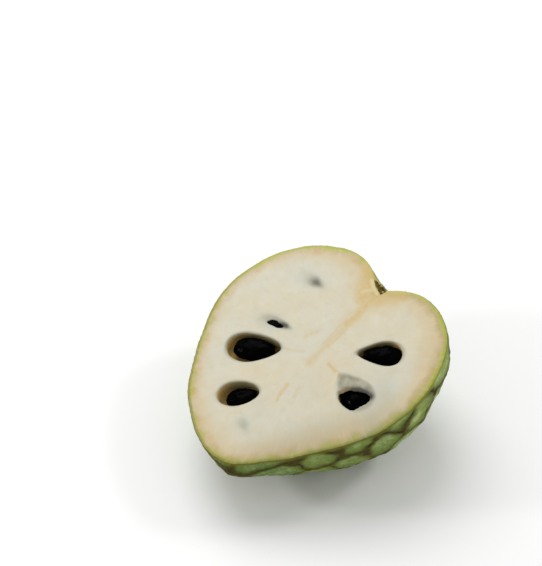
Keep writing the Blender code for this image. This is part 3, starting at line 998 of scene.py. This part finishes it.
def skin_material():
    s = Shade("scaly_green_skin", Subsurface_Weight=0.08, Subsurface_Scale=0.0012,
              Specular_IOR_Level=0.1, Coat_Weight=0.03, Coat_Roughness=0.3)
    border, rounded = s.attribute("border"), s.attribute("rounded")
    from_stem = s.attribute("from_stem")
    # Near the cut the bands between the pads are browner, and their borders lie further in.
    near_cut = s.times(s.step(s.depth, -17, -5), s.step(s.along, 30, 12))
    wander = s.math("MULTIPLY_ADD", s.noise(8, 4, 0.65), 4.4, -2)
    inward = s.plus(rounded, s.math("SUBTRACT", wander, s.times(near_cut, 0.5)))
    # Pale, bloomy pads, greener towards their edges; the tint makes some bluer, some yellower.
    tone = s.plus(s.times(s.attribute("tint"), 0.3), s.noise(12))
    s.base = s.mix(s.step(tone, 0.25, 0.8), PAD_GREEN, PAD_YELLOW)
    bloom = s.times(s.step(rounded, 1.5, 5), s.step(s.noise(7), 0.4, 0.62))
    s.paint(s.times(bloom, 0.65), PAD_BLOOM)
    # Painted shade: the pads towards the tip's end are darker, where that side lies in shade.
    s.paint(s.step(s.along, 8, -34, 0.5), PAD_TIP_SHADE)
    s.paint(s.step(s.noise(1.3, 4, 0.7), 0.46, 0.66, 0.35), PAD_FLECK)
    s.paint(s.step(s.noise(4.5), 0.52, 0.75, 0.5), PAD_PATCH)
    s.paint(s.step(rounded, 4.4, 1, 0.55), PAD_RIM)
    # Between the pads the skin is olive, and brown where three pads meet, in patches and near
    # the cut.
    corner = s.step(s.math("SUBTRACT", border, rounded), 0.25, 1.3)
    brown = s.math("MAXIMUM", corner, s.step(s.noise(10), 0.47, 0.62))
    brown = s.math("MAXIMUM", brown, s.times(near_cut, 0.8))
    between = s.mix(brown, GROOVE_OLIVE, GROOVE_BROWN)
    s.base = s.mix(s.step(inward, -0.2, 2.4), between, s.base)
    tan = s.times(s.step(s.noise(9), 0.5, 0.72), s.step(s.attribute("blush"), 0.1, 0.9))
    s.paint(s.times(tan, 0.6), SKIN_TAN)
    line = s.times(s.step(border, 0.8, 0.1), s.step(s.noise(4), 0.4, 0.58))
    s.paint(s.times(line, 0.8), GROOVE_LINE)
    # Just under the cut the skin is thinner and yellower.
    thin = s.mix(s.step(s.along, -12, 16), THIN_OLIVE, THIN_GREEN)
    s.paint(s.step(s.depth, -2.6, -0.3, 0.85), thin)
    # Fine veins and specks.
    veins = s.node("ShaderNodeTexVoronoi", s.position, 1 / 1.7, feature="DISTANCE_TO_EDGE")
    s.paint(s.step(veins.outputs["Distance"], 0.12, 0, 0.14), VEIN)
    s.paint(s.step(s.noise(0.55, 2, 0.5), 0.66, 0.74, 0.4), SPECK)
    # Streaks run into the hollow, and a corky tan ring surrounds the stub.
    ring = s.result("ShaderNodeCombineXYZ", from_stem, s.attribute("round_v"),
                    s.attribute("round_w"))
    streak = s.noise(1, 4, 0.6, s.vector("MULTIPLY", ring, (0.05, 7, 7)))
    close = s.step(from_stem, 34, 14)
    s.paint(s.times(close, s.step(streak, 0.42, 0.62, 0.7)), STREAK_DARK)
    s.paint(s.times(close, s.step(streak, 0.5, 0.3, 0.5)), STREAK_PALE)
    # Painted light: the skin at the rim of the hollow near the cut is lightened, where it faces
    # away from the lamps.
    s.paint(s.times(s.step(from_stem, 24, 12), s.step(s.depth, -7, -1, 0.7)), HOLLOW_LIP_LIGHT)
    s.paint(s.step(from_stem, 9.5, 6.5, 0.85), CORK_TAN)
    s.paint(s.step(from_stem, 6.5, 4, 0.9), CORK_BROWN)
    roughness = s.step(s.noise(3), 0.3, 0.7, 0.6, 0.42)
    roughness = s.plus(roughness, s.step(inward, 1.6, -0.4, 0.3))
    fine = s.bump(s.noise(0.7, 4, 0.65), 0.16, 0.5)
    crease = s.bump(s.step(border, 0, 1.2), 0.25, 0.6, fine)
    return s.finish(roughness, s.bump(s.noise(3.2), 0.45, 0.5, crease))


def seed_material():
    s = Shade("glossy_seed_coat", Specular_IOR_Level=0.012)
    s.base = s.mix(s.step(s.noise(3.5), 0.4, 0.75), SEED_BLACK, SEED_SHEEN)
    s.paint(s.step(s.attribute("scar"), 0.35, 0.9, 0.7), SEED_SCAR)
    roughness = s.step(s.noise(1.6), 0.35, 0.7, 0.26, 0.12)
    return s.finish(roughness, s.bump(s.noise(1.3), 0.12, 0.45))


def stub_material():
    s = Shade("corky_bark", Specular_IOR_Level=0.1)
    s.base = s.mix(s.step(s.noise(0.9, 4, 0.65), 0.35, 0.7), BARK, BARK_DARK)
    s.paint(s.step(s.attribute("pale"), 0.1, 1, 0.85), BARK_PALE)
    roughness = s.step(s.noise(0.7), 0.3, 0.7, 0.95, 0.75)
    return s.finish(roughness, s.bump(s.noise(0.45, 4, 0.7), 0.3, 0.9))


def floor_material():
    s = Shade("pale_floor", Roughness=0.7)
    s.base = s.mix(s.noise(400, 2, 0.5), FLOOR_PALE, FLOOR_DARK)
    return s.finish()


# ---------------- floor, light and camera

# The camera's lens in millimetres, and its place and what it looks at, from the middle of the
# face, in metres. What the lights look at is in metres too.
LENS = 100
CAMERA_PLACE = (-0.018, -0.3991, 0.4869)
CAMERA_TARGET = (-0.018, 0.0217, 0.0195)
LIGHT_TARGET = (0, 0, 0.03)
FLOOR_REACH = 3.0


def make_floor():
    mesh = bpy.data.meshes.new("floor")
    r = FLOOR_REACH
    mesh.from_pydata([(-r, -r, 0), (r, -r, 0), (r, r, 0), (-r, r, 0)], [], [(0, 1, 2, 3)])
    mesh.materials.append(floor_material())
    new_object("floor", mesh)


def aim(obj, place, target):
    """Puts a light or camera at its place, facing the target."""
    obj.location = place
    obj.rotation_euler = (Vector(target) - Vector(place)).to_track_quat("-Z", "Y").to_euler()


def make_light(name, place, size, power):
    """A round area light: its place and size are in metres, its power in watts."""
    light = bpy.data.lights.new(name, "AREA")
    light.shape = "DISK"
    light.size = size
    light.energy = power
    aim(new_object(name, light), place, LIGHT_TARGET)


def make_camera():
    """A long lens at the photograph's angle, with the half low and right of the middle."""
    camera = bpy.data.cameras.new("camera")
    camera.lens = LENS
    camera.sensor_width = 36
    middle = Vector(FACE_CENTRE) * MM
    obj = new_object("camera", camera)
    aim(obj, middle + Vector(CAMERA_PLACE), middle + Vector(CAMERA_TARGET))
    bpy.context.scene.camera = obj


def make_world(strength):
    """Even white light from all round."""
    world = bpy.data.worlds.new("studio")
    world.use_nodes = True
    background = world.node_tree.nodes["Background"]
    background.inputs["Color"].default_value = (1, 1, 1, 1)
    background.inputs["Strength"].default_value = strength
    bpy.context.scene.world = world


make_camera()
make_world(0.53)
make_light("overhead", (-0.22, 0.48, 0.95), 0.8, 5.4)
make_light("right", (0.75, 0.25, 0.75), 0.25, 2.0)
make_light("window", (-0.62, -0.02, 0.34), 0.11, 1.0)
make_floor()
bpy.context.scene.view_settings.view_transform = "Standard"

fruit = make_fruit([flesh_material(), skin_material()])
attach(fruit, "root")
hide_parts("fruit_half")

seed_coat = seed_material()
for number, (name, (place, turn, depth, size)) in enumerate(SEEDS.items()):
    seed = make_seed(name, number, place, turn, depth, size, seed_coat)
    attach(seed, "root")
    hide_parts(name)

stub = make_stub(stub_material())
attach(stub, "root")
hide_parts("stem_stub")
